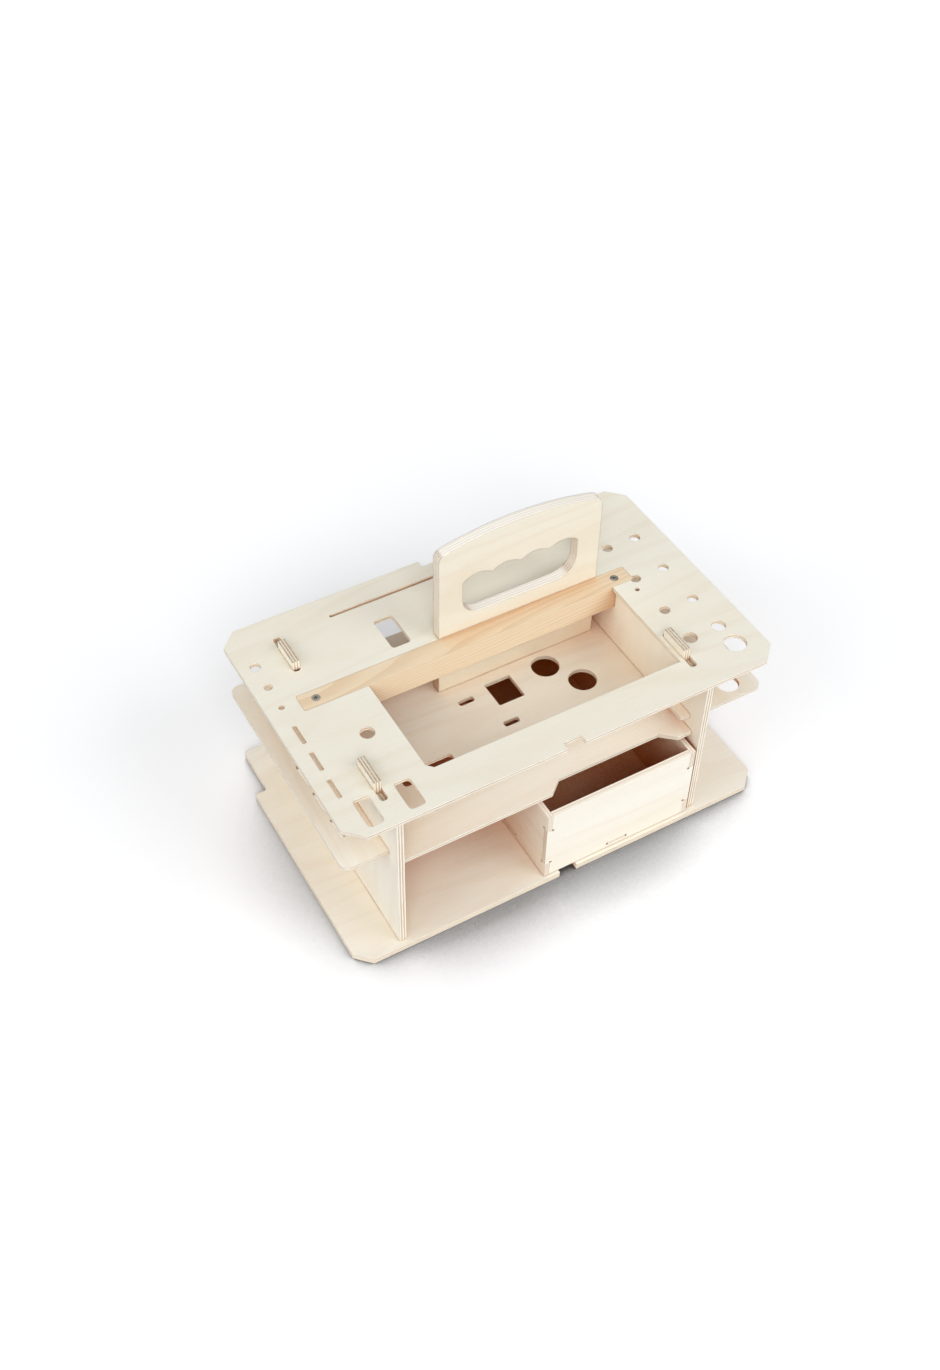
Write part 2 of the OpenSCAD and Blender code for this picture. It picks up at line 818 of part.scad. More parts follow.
// Bottom sheet, held by tabs through all four walls
module drawer_bottom() {
    color(light_ply) flat(bottom_z, bottom_t) {
        span(
            drawer_x0 + wall_t + fit, drawer_y0 + wall_t + fit,
            drawer_x1 - wall_t - fit, drawer_y1 - wall_t - fit
        );
        span(drawer_mid - bottom_tab / 2, drawer_y0, drawer_mid + bottom_tab / 2, drawer_y1);
        for (y = side_tabs)
            span(drawer_x0, y - bottom_tab / 2, drawer_x1, y + bottom_tab / 2);
    }
}

base_plate();
left_end_panel();
right_end_panel();
rear_panel();
left_wing_shelf();
right_wing_shelf();
inner_shelf();
top_plate();
handle_rail();
handle_plate();
rail_screws();
handle_screws();
drawer_front();
drawer_back();
drawer_left_side();
drawer_right_side();
drawer_bottom();
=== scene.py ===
import math

import bpy
from mathutils import Matrix
from mathutils import Vector


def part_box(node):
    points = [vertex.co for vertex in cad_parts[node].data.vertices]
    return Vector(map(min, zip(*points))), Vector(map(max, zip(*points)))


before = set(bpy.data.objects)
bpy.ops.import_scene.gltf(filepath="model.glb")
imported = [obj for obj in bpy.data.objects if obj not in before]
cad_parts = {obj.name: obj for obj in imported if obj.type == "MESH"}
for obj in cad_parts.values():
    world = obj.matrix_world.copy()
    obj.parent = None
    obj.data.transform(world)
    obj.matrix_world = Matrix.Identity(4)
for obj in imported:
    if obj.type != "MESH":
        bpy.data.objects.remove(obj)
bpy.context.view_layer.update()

# Axes by letter, as indexes into a corner or a vector
AXIS = {"X": 0, "Y": 1, "Z": 2}

# Kinds of socket on a node group
NUMBER = "NodeSocketFloat"
VECTOR = "NodeSocketVector"
COLOUR = "NodeSocketColor"

# Sockets of a mix node by index, because its labels are the same for numbers and colours
FIRST_NUMBER = 2
SECOND_NUMBER = 3
MIXED_NUMBER = 0
FIRST_COLOUR = 6
SECOND_COLOUR = 7
MIXED_COLOUR = 2

# Radius of the grip's rounded edge, of a hand-sanded arris and of a cutter's crisp one, in metres
ROUNDED = 0.0025
SANDED = 0.0004
CRISP = 0.0001

# Sheets: node, thickness axis, direction of the face grain, number of plies, figure, arris
SHEETS = [
    ("base_plate", "Z", "X", 5, 0.8, SANDED),
    ("left_end_panel", "X", "Z", 5, 0.9, SANDED),
    ("right_end_panel", "X", "Z", 5, 0.9, SANDED),
    ("rear_panel", "Y", "X", 3, 1.0, CRISP),
    ("left_wing_shelf", "Z", "Y", 3, 0.9, SANDED),
    ("right_wing_shelf", "Z", "Y", 3, 0.9, SANDED),
    ("inner_shelf", "Z", "X", 3, 1.0, SANDED),
    ("top_plate", "Z", "X", 3, 0.8, SANDED),
    ("handle_plate", "Y", "X", 7, 1.0, ROUNDED),
    ("drawer_front", "Y", "X", 3, 0.8, CRISP),
    ("drawer_back", "Y", "X", 3, 0.8, CRISP),
    ("drawer_left_side", "X", "Y", 3, 0.9, CRISP),
    ("drawer_right_side", "X", "Y", 3, 0.9, CRISP),
    ("drawer_bottom", "Z", "X", 3, 0.9, CRISP),
]
SCREWS = ["rail_screws", "handle_screws"]

# Thickness of a ply across the face grain, as a share of one along it
CROSS_PLY = 0.6

# Shift of the grain from one sheet to the next, in metres, and the shares of it that go
# along the grain, across it and through the sheet
SHEET_SHIFT = 0.417
SHIFT_SHARES = (1.0, 1.7, 0.3)

# How far the painted shade looks for shelter round a sheet, round the rail and inside a crack, in
# metres
SHEET_REACH = 0.3
RAIL_REACH = 0.06
CRACK_REACH = 0.004

# Rays per point that look for an arris, for shelter and for a crack for the painted shade, and for
# the floor's painted shadow
ARRIS_RAYS = 4
SHELTER_RAYS = 6
CRACK_RAYS = 4
FLOOR_RAYS = 12

# Share of the glue's colour in a glue line, and how much less on edges that face up, where a painted
# highlight pales them
GLUE_SHARE = 0.55
GLUE_TOP_LIGHT = 0.2

# Photograph frame and the camera that took it, in pixels, degrees and metres
PHOTO_W = 940
PHOTO_H = 1370
FOCAL_PX = 1579.96
CENTRE_X_PX = 440.18
CENTRE_Y_PX = 651.23
CAMERA_TURN = -29.09
CAMERA_RISE = 46.26
CAMERA_AT = Vector((-0.4599, -0.7334, 1.0541))
SENSOR_H = 36.0

# Direction that the floor's open air comes from, so that its painted shadow lies in front and at the
# left, how far its painted shadow reaches in metres, and how much open air makes it darkest and
# lightest
FLOOR_LEAN = (0.15, 0.4, 0.8)
FLOOR_REACH = 0.17
FLOOR_DARKEST = 0.22
FLOOR_LIGHTEST = 0.75

# How much the open floor glows for the camera, so that it shows white; the glow fades in the painted
# shadow
FLOOR_LIFT = 0.1

# Side of the floor and how far it lies under the tote, in metres
FLOOR_SIZE = 16.0
FLOOR_DROP = 0.0004

# Strength of the plain light that comes from all round
SURROUND_LIGHT = 0.38

# How wide each far lamp looks from the tote, in degrees
LAMP_SPREAD = 40.0

# Far soft lamps: name, compass direction and rise in degrees, and strength
LAMPS = [
    ("above", 30.0, 66.0, 0.15),
    ("front", 205.0, 35.0, 1.42),
    ("left", 262.0, 28.0, 0.8),
    ("right", 140.0, 35.0, 1.0),
]


def paint(red, green, blue):
    """Turn a display colour of 0 to 255 into the linear colour that a shader takes."""
    linear = []
    for part in (red, green, blue):
        share = part / 255.0
        if share <= 0.04045:
            linear.append(share / 12.92)
        else:
            linear.append(((share + 0.055) / 1.055) ** 2.4)
    return (linear[0], linear[1], linear[2], 1.0)


BIRCH_LIGHT = paint(243, 241, 232)
BIRCH_WARM = paint(239, 232, 219)
BIRCH_LINE = paint(222, 200, 172)
# Colours that sheltered wood, wood deep inside and cracks are multiplied by, as painted shade
SHADE_NEAR = paint(255, 250, 240)
SHADE_DEEP = paint(222, 127, 24)
SHADE_RAIL = paint(216, 172, 132)
SHADE_CRACK = paint(176, 128, 90)
PLY_LONG = paint(247, 241, 229)
PLY_TOP_LIGHT = paint(255, 251, 243)
# Pale colour of cut edges that face up, a painted highlight
PLY_END = paint(206, 186, 158)
PLY_PORE = paint(112, 82, 58)
GLUE = paint(146, 118, 92)
BATTEN_LIGHT = paint(234, 214, 184)
BATTEN_DARK = paint(216, 187, 150)
BATTEN_END = paint(206, 170, 130)
ZINC = paint(150, 146, 138)
ZINC_DULL = paint(96, 92, 86)
FLOOR_BOUNCE = (0.68, 0.7, 0.74, 1.0)
FLOOR_SEEN = (0.965, 0.98, 1.0, 1.0)
FLOOR_SHADE = (0.06, 0.06, 0.06, 1.0)

# Sheets whose faces are darkened all over as painted shade, and what the birch colour of their faces
# is multiplied by
SHADE_TINTS = {"handle_plate": paint(246, 243, 236), "top_plate": paint(249, 248, 243)}


def feed(tree, socket, value):
    """Link a socket to another, or set its value."""
    if isinstance(value, bpy.types.NodeSocket):
        tree.links.new(value, socket)
    else:
        socket.default_value = value


def calc(tree, operation, first, second=0.0, third=0.0):
    """Math on numbers."""
    made = tree.nodes.new("ShaderNodeMath")
    made.operation = operation
    for socket, value in zip(made.inputs, (first, second, third)):
        feed(tree, socket, value)
    return made.outputs[0]


def calc_vector(tree, operation, first, second):
    """Math on vectors; a dot product comes out as a number."""
    made = tree.nodes.new("ShaderNodeVectorMath")
    made.operation = operation
    feed(tree, made.inputs[0], first)
    feed(tree, made.inputs[1], second)
    if operation == "DOT_PRODUCT":
        return made.outputs["Value"]
    return made.outputs["Vector"]


def spread(tree, value, low, high, out_low=0.0, out_high=1.0):
    """Smooth step from low to high."""
    made = tree.nodes.new("ShaderNodeMapRange")
    made.interpolation_type = "SMOOTHSTEP"
    feed(tree, made.inputs["Value"], value)
    made.inputs["From Min"].default_value = low
    made.inputs["From Max"].default_value = high
    made.inputs["To Min"].default_value = out_low
    made.inputs["To Max"].default_value = out_high
    return made.outputs["Result"]


def noise(tree, place, stretch, detail=3.0, rough=0.5, twist=0.0):
    """Noise whose cells have a frequency per metre along each axis."""
    scaled = calc_vector(tree, "MULTIPLY", place, stretch)
    made = tree.nodes.new("ShaderNodeTexNoise")
    made.noise_dimensions = "3D"
    tree.links.new(scaled, made.inputs["Vector"])
    made.inputs["Scale"].default_value = 1.0
    made.inputs["Detail"].default_value = detail
    made.inputs["Roughness"].default_value = rough
    made.inputs["Distortion"].default_value = twist
    return made.outputs["Fac"]


def blend(tree, factor, first, second, kind="MIX"):
    """Mix two colours."""
    made = tree.nodes.new("ShaderNodeMix")
    made.data_type = "RGBA"
    made.blend_type = kind
    feed(tree, made.inputs["Factor"], factor)
    feed(tree, made.inputs[FIRST_COLOUR], first)
    feed(tree, made.inputs[SECOND_COLOUR], second)
    return made.outputs[MIXED_COLOUR]


def blend_numbers(tree, factor, first, second):
    """Mix two numbers."""
    made = tree.nodes.new("ShaderNodeMix")
    feed(tree, made.inputs["Factor"], factor)
    feed(tree, made.inputs[FIRST_NUMBER], first)
    feed(tree, made.inputs[SECOND_NUMBER], second)
    return made.outputs[MIXED_NUMBER]


def new_group(name, inputs, outputs):
    """Start a shader node group with named sockets."""
    tree = bpy.data.node_groups.new(name, "ShaderNodeTree")
    for label, kind in inputs:
        tree.interface.new_socket(label, in_out="INPUT", socket_type=kind)
    for label, kind in outputs:
        tree.interface.new_socket(label, in_out="OUTPUT", socket_type=kind)
    source = tree.nodes.new("NodeGroupInput").outputs
    target = tree.nodes.new("NodeGroupOutput").inputs
    return tree, source, target


def place_group(tree, group, values):
    """Add a group to a material and feed its inputs."""
    made = tree.nodes.new("ShaderNodeGroup")
    made.node_tree = group
    for label, value in values.items():
        feed(tree, made.inputs[label], value)
    return made.outputs


def build_sheet_faces():
    """Tell a sheet's broad faces from its edges, and edges cut across the grain from the rest."""
    tree, source, target = new_group(
        "sheet_faces",
        [("Facing", VECTOR), ("Across", VECTOR), ("Grain", VECTOR)],
        [("Face", NUMBER), ("Cross Cut", NUMBER)],
    )
    across = calc_vector(tree, "DOT_PRODUCT", source["Facing"], source["Across"])
    along = calc_vector(tree, "DOT_PRODUCT", source["Facing"], source["Grain"])
    face = spread(tree, calc(tree, "ABSOLUTE", across), 0.6, 0.75)
    cut = spread(tree, calc(tree, "ABSOLUTE", along), 0.35, 0.75)
    tree.links.new(face, target["Face"])
    tree.links.new(cut, target["Cross Cut"])
    return tree


def build_birch_face():
    """Rotary-cut birch: clouds, faint contour figure, fibres and short pores along X."""
    tree, source, target = new_group(
        "birch_face",
        [("Place", VECTOR), ("Figure", NUMBER)],
        [("Color", COLOUR), ("Height", NUMBER)],
    )
    place = source["Place"]
    figure = source["Figure"]
    cloud = noise(tree, place, (3.5, 16.0, 16.0), detail=3.0, rough=0.55)
    ring_field = noise(tree, place, (1.3, 13.0, 13.0), detail=1.5, rough=0.4, twist=0.2)
    ring_turns = calc(tree, "MULTIPLY", ring_field, 70.0)
    ring_wave = calc(tree, "SINE", ring_turns)
    ring = spread(tree, ring_wave, 0.1, 1.0)
    fibre = noise(tree, place, (34.0, 1500.0, 1500.0), detail=2.0, rough=0.6)
    pore_field = noise(tree, place, (150.0, 2300.0, 2300.0), detail=1.0, rough=0.5)
    pore = spread(tree, pore_field, 0.66, 0.78)
    warm = spread(tree, cloud, 0.3, 0.75, 0.0, 0.75)
    body = blend(tree, warm, BIRCH_LIGHT, BIRCH_WARM)
    ring_share = calc(tree, "MULTIPLY", calc(tree, "MULTIPLY", ring, figure), 0.12)
    ringed = blend(tree, ring_share, body, BIRCH_LINE)
    fibre_share = spread(tree, fibre, 0.45, 0.8, 0.0, 0.16)
    fibred = blend(tree, fibre_share, ringed, BIRCH_LINE)
    pore_share = calc(tree, "MULTIPLY", pore, 0.22)
    final = blend(tree, pore_share, fibred, PLY_END)
    height = calc(tree, "SUBTRACT", calc(tree, "MULTIPLY", fibre, 0.35), pore)
    tree.links.new(final, target["Color"])
    tree.links.new(height, target["Height"])
    return tree


def build_ply_edge():
    """Cut edge of plywood: plies along and across the cut in turn, pores and glue lines.

    Edges that face up get a painted highlight, paler where cut along the grain, and carry darker
    pores where cut across it: real end grain, darkened further on top as painted shade.
    """
    tree, source, target = new_group(
        "ply_edge",
        [("Place", VECTOR), ("Layer", NUMBER), ("Cross Cut", NUMBER), ("Upward", NUMBER)],
        [("Color", COLOUR), ("Height", NUMBER)],
    )
    place = source["Place"]
    wander = noise(tree, place, (55.0, 55.0, 55.0), detail=1.0, rough=0.5)
    shift = spread(tree, wander, 0.2, 0.8, -0.05, 0.05)
    layer = calc(tree, "ADD", source["Layer"], shift)
    pair = calc(tree, "WRAP", layer, 1.0 + CROSS_PLY, 0.0)
    crossing = spread(tree, pair, 0.9, 1.1)
    end = calc(tree, "ABSOLUTE", calc(tree, "SUBTRACT", crossing, source["Cross Cut"]))
    to_first = calc(tree, "MINIMUM", pair, calc(tree, "SUBTRACT", 1.0 + CROSS_PLY, pair))
    to_second = calc(tree, "ABSOLUTE", calc(tree, "SUBTRACT", pair, 1.0))
    line = spread(tree, calc(tree, "MINIMUM", to_first, to_second), 0.04, 0.13, 1.0, 0.0)
    speck = noise(tree, place, (1400.0, 1400.0, 1400.0), detail=2.0, rough=0.65)
    specks = spread(tree, speck, 0.46, 0.66)
    tone = noise(tree, place, (24.0, 24.0, 24.0), detail=2.0, rough=0.5)
    toned = blend(tree, spread(tree, tone, 0.3, 0.7, 0.0, 0.4), PLY_END, PLY_LONG)
    # Edges that face up: painted highlight where cut along the grain, dark pores partly painted
    # shade where cut across it
    upward = spread(tree, source["Upward"], 0.5, 0.9)
    upward_end = calc(tree, "MULTIPLY", upward, source["Cross Cut"])
    lit_top = calc(tree, "SUBTRACT", upward, upward_end)
    upright = calc(tree, "SUBTRACT", source["Cross Cut"], upward_end)
    toned = blend(tree, calc(tree, "MULTIPLY", upright, 0.5), toned, PLY_LONG)
    toned = blend(tree, calc(tree, "MULTIPLY", lit_top, 0.8), toned, PLY_LONG)
    # Dark pores of end grain, heavier on edges that face up, where they are partly painted shade
    pores_and_shade = spread(tree, calc(tree, "SUBTRACT", upward_end, lit_top), -1.0, 1.0, -0.5, 0.9)
    pores_and_shade = calc(tree, "MAXIMUM", pores_and_shade, 0.0)
    end_colour = blend(tree, calc(tree, "MULTIPLY", specks, pores_and_shade), toned, PLY_PORE)
    streak = noise(tree, place, (90.0, 90.0, 2400.0), detail=2.0, rough=0.6)
    streaks = calc(
        tree, "MULTIPLY", spread(tree, streak, 0.4, 0.8, 0.0, 0.5),
        calc(tree, "SUBTRACT", 1.0, calc(tree, "MULTIPLY", lit_top, 0.6)))
    long_colour = blend(tree, streaks, PLY_LONG, PLY_END)
    layered = blend(tree, end, long_colour, end_colour)
    # Painted highlight: edges that face up along the grain turn pale
    top_light_share = calc(tree, "SUBTRACT", 0.8, calc(tree, "MULTIPLY", end, 0.6))
    layered = blend(tree, calc(tree, "MULTIPLY", lit_top, top_light_share), layered, PLY_TOP_LIGHT)
    top_lit_glue = calc(tree, "MULTIPLY", lit_top, GLUE_TOP_LIGHT)
    glue_share = calc(tree, "SUBTRACT", GLUE_SHARE, top_lit_glue)
    glued = blend(tree, calc(tree, "MULTIPLY", line, glue_share), layered, GLUE)
    height = calc(tree, "SUBTRACT", 0.0, calc(tree, "MULTIPLY", specks, end))
    tree.links.new(glued, target["Color"])
    tree.links.new(height, target["Height"])
    return tree


def build_soft_arris():
    """Sanded arris: a rounded normal near sharp edges."""
    tree, source, target = new_group("soft_arris", [("Radius", NUMBER)], [("Normal", VECTOR)])
    bevel = tree.nodes.new("ShaderNodeBevel")
    bevel.samples = ARRIS_RAYS
    tree.links.new(source["Radius"], bevel.inputs["Radius"])
    tree.links.new(bevel.outputs["Normal"], target["Normal"])
    return tree


def build_sawn_batten():
    """Solid batten sawn along X: fine growth bands and flecks on its sides, pores on its ends."""
    tree, source, target = new_group(
        "sawn_batten",
        [("Place", VECTOR), ("End", NUMBER)],
        [("Color", COLOUR), ("Height", NUMBER)],
    )
    place = source["Place"]
    bend = noise(tree, place, (3.0, 26.0, 26.0), detail=2.0, rough=0.45)
    parts = tree.nodes.new("ShaderNodeSeparateXYZ")
    tree.links.new(place, parts.inputs[0])
    slope = calc(tree, "MULTIPLY", parts.outputs["Z"], 620.0)
    slant = calc(tree, "MULTIPLY", parts.outputs["Y"], 380.0)
    field = calc(tree, "ADD", calc(tree, "ADD", slope, slant), calc(tree, "MULTIPLY", bend, 26.0))
    within = calc(tree, "FRACT", calc(tree, "MULTIPLY", field, 0.35))
    late = spread(tree, within, 0.2, 0.95)
    fibre = noise(tree, place, (26.0, 1300.0, 1300.0), detail=3.0, rough=0.6)
    banded = blend(tree, calc(tree, "MULTIPLY", late, 0.5), BATTEN_LIGHT, BATTEN_DARK)
    fibred = blend(tree, spread(tree, fibre, 0.42, 0.8, 0.0, 0.4), banded, BATTEN_DARK)
    speck = noise(tree, place, (1500.0, 1500.0, 1500.0), detail=2.0, rough=0.6)
    end_colour = blend(tree, spread(tree, speck, 0.4, 0.7, 0.0, 0.6), BATTEN_END, PLY_PORE)
    final = blend(tree, source["End"], fibred, end_colour)
    height = calc(tree, "ADD", calc(tree, "MULTIPLY", fibre, 0.6), calc(tree, "MULTIPLY", late, 0.4))
    tree.links.new(final, target["Color"])
    tree.links.new(height, target["Height"])
    return tree


def build_deep_shade():
    """Masks for painted shade: sheltered places, those deep inside, and narrow cracks and small
    holes.
    """
    tree, source, target = new_group(
        "deep_shade",
        [("Reach", NUMBER)],
        [("Near", NUMBER), ("Deep", NUMBER), ("Crack", NUMBER)],
    )
    around = tree.nodes.new("ShaderNodeAmbientOcclusion")
    around.samples = SHELTER_RAYS
    tree.links.new(source["Reach"], around.inputs["Distance"])
    near = spread(tree, around.outputs["AO"], 0.2, 0.9, 1.0, 0.0)
    deep = spread(tree, around.outputs["AO"], 0.0, 0.2, 1.0, 0.0)
    close = tree.nodes.new("ShaderNodeAmbientOcclusion")
    close.samples = CRACK_RAYS
    close.inputs["Distance"].default_value = CRACK_REACH
    crack = spread(tree, close.outputs["AO"], 0.1, 0.6, 1.0, 0.0)
    tree.links.new(near, target["Near"])
    tree.links.new(deep, target["Deep"])
    tree.links.new(crack, target["Crack"])
    return tree


GROUPS = {
    "sheet_faces": build_sheet_faces(),
    "birch_face": build_birch_face(),
    "ply_edge": build_ply_edge(),
    "soft_arris": build_soft_arris(),
    "sawn_batten": build_sawn_batten(),
    "deep_shade": build_deep_shade(),
}


def new_material(name):
    """Start a material with only a Principled shader and its output."""
    made = bpy.data.materials.new(name)
    made.use_nodes = True
    tree = made.node_tree
    tree.nodes.clear()
    output = tree.nodes.new("ShaderNodeOutputMaterial")
    shader = tree.nodes.new("ShaderNodeBsdfPrincipled")
    tree.links.new(shader.outputs["BSDF"], output.inputs["Surface"])
    return made, tree, shader


def unit(letter):
    """Unit vector of an axis."""
    values = [0.0, 0.0, 0.0]
    values[AXIS[letter]] = 1.0
    return tuple(values)


def object_place(tree):
    """Object coordinates in metres by axis, with the object's own normal."""
    coordinates = tree.nodes.new("ShaderNodeTexCoord")
    parts = tree.nodes.new("ShaderNodeSeparateXYZ")
    tree.links.new(coordinates.outputs["Object"], parts.inputs[0])
    return parts.outputs, coordinates.outputs["Normal"]


def grain_place(tree, parts, grain, across, shift):
    """Place with the grain along X and the thickness along Z, shifted for each sheet."""
    other = [letter for letter in "XYZ" if letter not in (grain, across)][0]
    joined = tree.nodes.new("ShaderNodeCombineXYZ")
    tree.links.new(parts[grain], joined.inputs[0])
    tree.links.new(parts[other], joined.inputs[1])
    tree.links.new(parts[across], joined.inputs[2])
    steps = tuple(share * shift for share in SHIFT_SHARES)
    return calc_vector(tree, "ADD", joined.outputs[0], steps)


def finish_surface(tree, shader, colour, height, radius, bump, depth):
    """Sanded arris, bump and colour into the shader."""
    arris = place_group(tree, GROUPS["soft_arris"], {"Radius": radius})
    bumper = tree.nodes.new("ShaderNodeBump")
    bumper.inputs["Strength"].default_value = bump
    bumper.inputs["Distance"].default_value = depth
    feed(tree, bumper.inputs["Height"], height)
    tree.links.new(arris["Normal"], bumper.inputs["Normal"])
    tree.links.new(bumper.outputs["Normal"], shader.inputs["Normal"])
    tree.links.new(colour, shader.inputs["Base Color"])


def shaded(tree, colour, reach, near_shade_colour):
    """Painted shade: warm and darken a wood colour a little where it is sheltered, a lot deep
    inside, and in narrow cracks and small holes.
    """
    shade = place_group(tree, GROUPS["deep_shade"], {"Reach": reach})
    near_shaded = blend(tree, shade["Near"], colour, near_shade_colour, "MULTIPLY")
    deep_shaded = blend(tree, shade["Deep"], near_shaded, SHADE_DEEP, "MULTIPLY")
    return blend(tree, shade["Crack"], deep_shaded, SHADE_CRACK, "MULTIPLY")


def birch_sheet(node, across, grain, plies, figure, arris, shift):
    """Birch plywood for one sheet, with its plies laid across its real thickness."""
    made, tree, shader = new_material("birch_" + node)
    low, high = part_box(node)
    bottom = low[AXIS[across]]
    thickness = high[AXIS[across]] - bottom
    parts, facing = object_place(tree)
    place = grain_place(tree, parts, grain, across, shift)
    faces = place_group(
        tree, GROUPS["sheet_faces"],
        {"Facing": facing, "Across": unit(across), "Grain": unit(grain)})
    cross_plies = (plies - 1) / 2
    long_ply = thickness / (cross_plies + 1 + CROSS_PLY * cross_plies)
    layer = calc(tree, "DIVIDE", calc(tree, "SUBTRACT", parts[across], bottom), long_ply)
    face = place_group(tree, GROUPS["birch_face"], {"Place": place, "Figure": figure})
    edge = place_group(
        tree, GROUPS["ply_edge"],
        {"Place": place, "Layer": layer, "Cross Cut": faces["Cross Cut"],
         "Upward": calc_vector(tree, "DOT_PRODUCT", facing, unit("Z"))})
    face_colour = face["Color"]
    # Painted shade: these sheets' faces are darkened all over
    if node in SHADE_TINTS:
        face_colour = blend(tree, 1.0, face_colour, SHADE_TINTS[node], "MULTIPLY")
    colour = blend(tree, faces["Face"], edge["Color"], face_colour)
    height = blend_numbers(tree, faces["Face"], edge["Height"], face["Height"])
    # Painted shade in sheltered places, deep inside and in cracks
    colour = shaded(tree, colour, SHEET_REACH, SHADE_NEAR)
    finish_surface(tree, shader, colour, height, radius=arris, bump=0.35, depth=0.00012)
    rough = spread(tree, faces["Face"], 0.0, 1.0, 0.78, 0.6)
    tree.links.new(rough, shader.inputs["Roughness"])
    shader.inputs["Specular IOR Level"].default_value = 0.3
    return made


def softwood_batten(node):
    """Planed and sanded softwood for the rail."""
    made, tree, shader = new_material("softwood_" + node)
    parts, facing = object_place(tree)
    place = grain_place(tree, parts, "X", "Z", SHEET_SHIFT)
    faces = place_group(
        tree, GROUPS["sheet_faces"], {"Facing": facing, "Across": unit("Z"), "Grain": unit("X")})
    wood = place_group(tree, GROUPS["sawn_batten"], {"Place": place, "End": faces["Cross Cut"]})
    # Painted shade where the rail is sheltered and in cracks
    colour = shaded(tree, wood["Color"], RAIL_REACH, SHADE_RAIL)
    finish_surface(
        tree, shader, colour, wood["Height"], radius=0.0008, bump=0.3, depth=0.00015)
    shader.inputs["Roughness"].default_value = 0.55
    shader.inputs["Specular IOR Level"].default_value = 0.35
    return made


def zinc_screw(node):
    """Zinc-plated steel with fine scratches."""
    made, tree, shader = new_material("zinc_" + node)
    parts, facing = object_place(tree)
    place = grain_place(tree, parts, "X", "Z", 0.0)
    scratch = noise(tree, place, (900.0, 5200.0, 900.0), detail=2.0, rough=0.6)
    dull = noise(tree, place, (260.0, 260.0, 260.0), detail=2.0, rough=0.5)
    colour = blend(tree, spread(tree, dull, 0.35, 0.75), ZINC, ZINC_DULL)
    finish_surface(tree, shader, colour, scratch, radius=0.0002, bump=0.25, depth=0.00005)
    tree.links.new(spread(tree, scratch, 0.2, 0.8, 0.22, 0.42), shader.inputs["Roughness"])
    shader.inputs["Metallic"].default_value = 1.0
    return made


def dress(node, material):
    """Put a finish on every slot of a node's object."""
    for slot in bpy.data.objects[node].material_slots:
        slot.material = material


def dress_tote():
    """Give every node its finish."""
    for count, (node, across, grain, plies, figure, arris) in enumerate(SHEETS):
        shift = SHEET_SHIFT * (count + 1)
        dress(node, birch_sheet(node, across, grain, plies, figure, arris, shift))
    dress("handle_rail", softwood_batten("handle_rail"))
    for node in SCREWS:
        dress(node, zinc_screw(node))


def add_floor():
    """Plain pale floor that shows white in the light and grey in the object's shadow, with a painted
    shadow darkening its colour close to the object.
    """
    mesh = bpy.data.meshes.new("floor")
    half = FLOOR_SIZE / 2
    low = -FLOOR_DROP
    corners = [(-half, -half, low), (half, -half, low), (half, half, low), (-half, half, low)]
    mesh.from_pydata(corners, [], [(0, 1, 2, 3)])
    floor = bpy.data.objects.new("floor", mesh)
    bpy.context.scene.collection.objects.link(floor)
    made, tree, shader = new_material("pale_floor")
    shader.inputs["Roughness"].default_value = 0.9
    shader.inputs["Specular IOR Level"].default_value = 0.1
    path = tree.nodes.new("ShaderNodeLightPath")
    seen = path.outputs["Is Camera Ray"]
    around = tree.nodes.new("ShaderNodeAmbientOcclusion")
    around.samples = FLOOR_RAYS
    around.inputs["Distance"].default_value = FLOOR_REACH
    lean = tree.nodes.new("ShaderNodeCombineXYZ")
    for socket, value in zip(lean.inputs, Vector(FLOOR_LEAN).normalized()):
        socket.default_value = value
    tree.links.new(lean.outputs[0], around.inputs["Normal"])
    # Painted shadow: the floor's colour darkens where little open air reaches it
    open_air = spread(tree, around.outputs["AO"], FLOOR_DARKEST, FLOOR_LIGHTEST)
    floor_colour = blend(tree, open_air, FLOOR_SHADE, FLOOR_SEEN)
    tree.links.new(blend(tree, seen, FLOOR_BOUNCE, floor_colour), shader.inputs["Base Color"])
    lift = calc(tree, "MULTIPLY", calc(tree, "MULTIPLY", seen, open_air), FLOOR_LIFT)
    shader.inputs["Emission Color"].default_value = (1.0, 1.0, 1.0, 1.0)
    tree.links.new(lift, shader.inputs["Emission Strength"])
    mesh.materials.append(made)


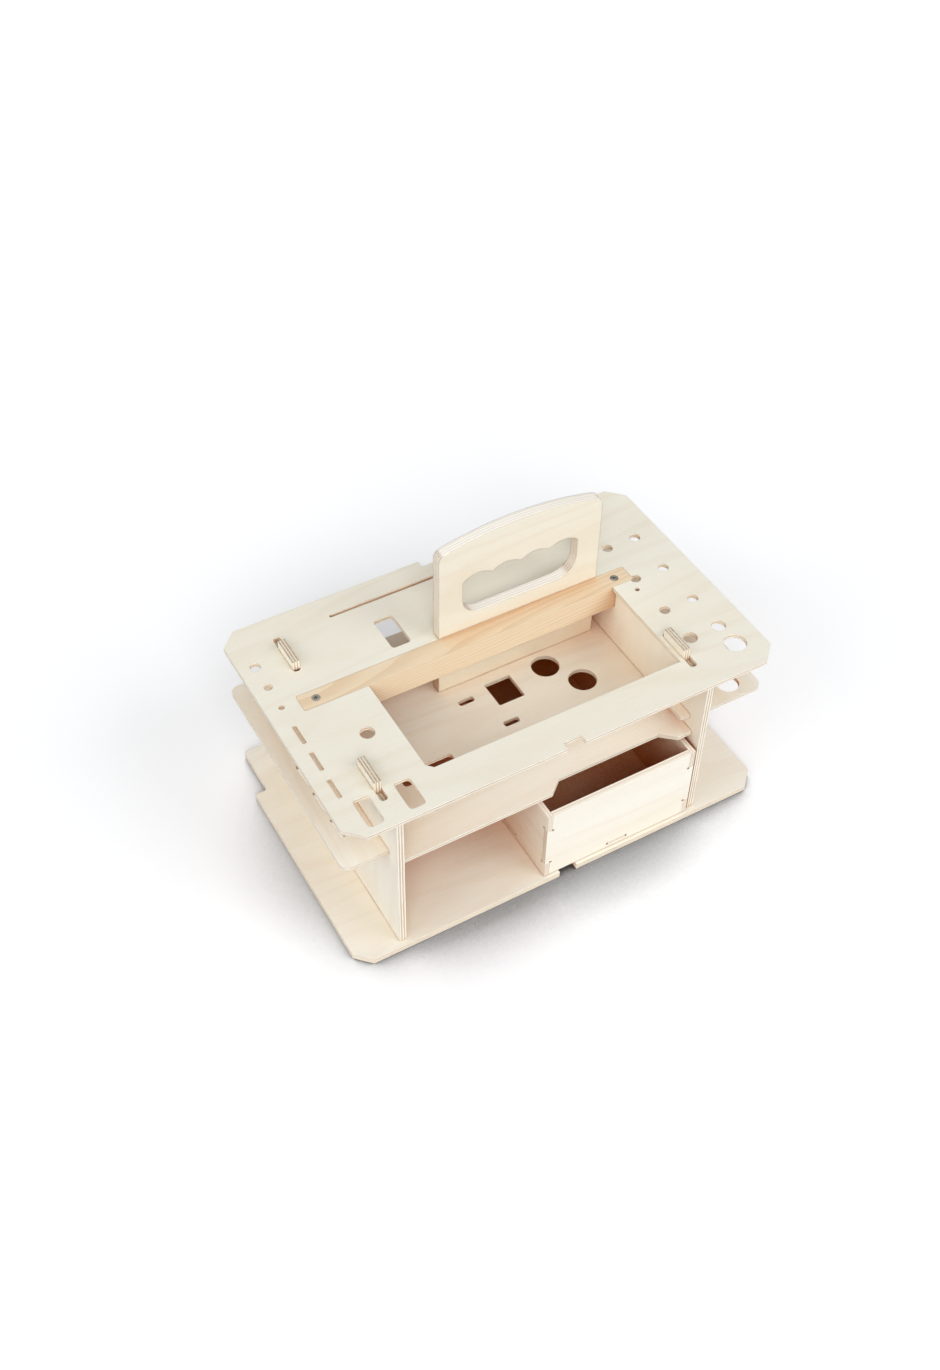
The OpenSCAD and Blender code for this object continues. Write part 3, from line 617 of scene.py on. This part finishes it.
def add_world():
    """White surroundings for what the camera and the metal see, plain soft light for the rest."""
    world = bpy.data.worlds.new("studio")
    world.use_nodes = True
    tree = world.node_tree
    tree.nodes.clear()
    output = tree.nodes.new("ShaderNodeOutputWorld")
    back = tree.nodes.new("ShaderNodeBackground")
    path = tree.nodes.new("ShaderNodeLightPath")
    seen = calc(tree, "MAXIMUM", path.outputs["Is Camera Ray"], path.outputs["Is Glossy Ray"])
    seen = calc(tree, "MAXIMUM", seen, path.outputs["Is Transmission Ray"])
    back.inputs["Color"].default_value = (1.0, 1.0, 1.0, 1.0)
    tree.links.new(spread(tree, seen, 0.0, 1.0, SURROUND_LIGHT, 1.0), back.inputs["Strength"])
    tree.links.new(back.outputs[0], output.inputs["Surface"])
    bpy.context.scene.world = world


def add_lamp(name, turn, rise, strength):
    """Soft far light from a compass direction in degrees, rising above the floor."""
    data = bpy.data.lights.new(name, "SUN")
    data.angle = math.radians(LAMP_SPREAD)
    data.energy = strength
    lamp = bpy.data.objects.new(name, data)
    flat = math.cos(math.radians(rise))
    source = Vector((
        flat * math.sin(math.radians(turn)),
        flat * math.cos(math.radians(turn)),
        math.sin(math.radians(rise))))
    lamp.rotation_euler = source.to_track_quat("Z", "Y").to_euler()
    bpy.context.scene.collection.objects.link(lamp)


def add_lamps():
    """Wide light from above and behind, and low wide light from the front and both sides."""
    for name, turn, rise, strength in LAMPS:
        add_lamp(name, turn, rise, strength)


def add_camera():
    """Camera at the photograph's place, with the photograph's framing."""
    data = bpy.data.cameras.new("photo_camera")
    data.sensor_fit = "VERTICAL"
    data.sensor_height = SENSOR_H
    data.lens = FOCAL_PX * SENSOR_H / PHOTO_H
    data.shift_x = (PHOTO_W / 2 - CENTRE_X_PX) / PHOTO_H
    data.shift_y = (CENTRE_Y_PX - PHOTO_H / 2) / PHOTO_H
    data.clip_start = 0.01
    data.clip_end = 50.0
    turn = math.radians(CAMERA_TURN)
    rise = math.radians(CAMERA_RISE)
    back = Vector((
        math.sin(turn) * math.cos(rise), -math.cos(turn) * math.cos(rise), math.sin(rise)))
    right = Vector((math.cos(turn), math.sin(turn), 0.0))
    up = back.cross(right)
    turned = Matrix((right, up, back)).transposed().to_4x4()
    camera = bpy.data.objects.new("photo_camera", data)
    camera.matrix_world = Matrix.Translation(CAMERA_AT) @ turned
    bpy.context.scene.collection.objects.link(camera)
    bpy.context.scene.camera = camera


add_camera()
dress_tote()
add_floor()
add_world()
add_lamps()
bpy.context.scene.view_settings.view_transform = "Standard"
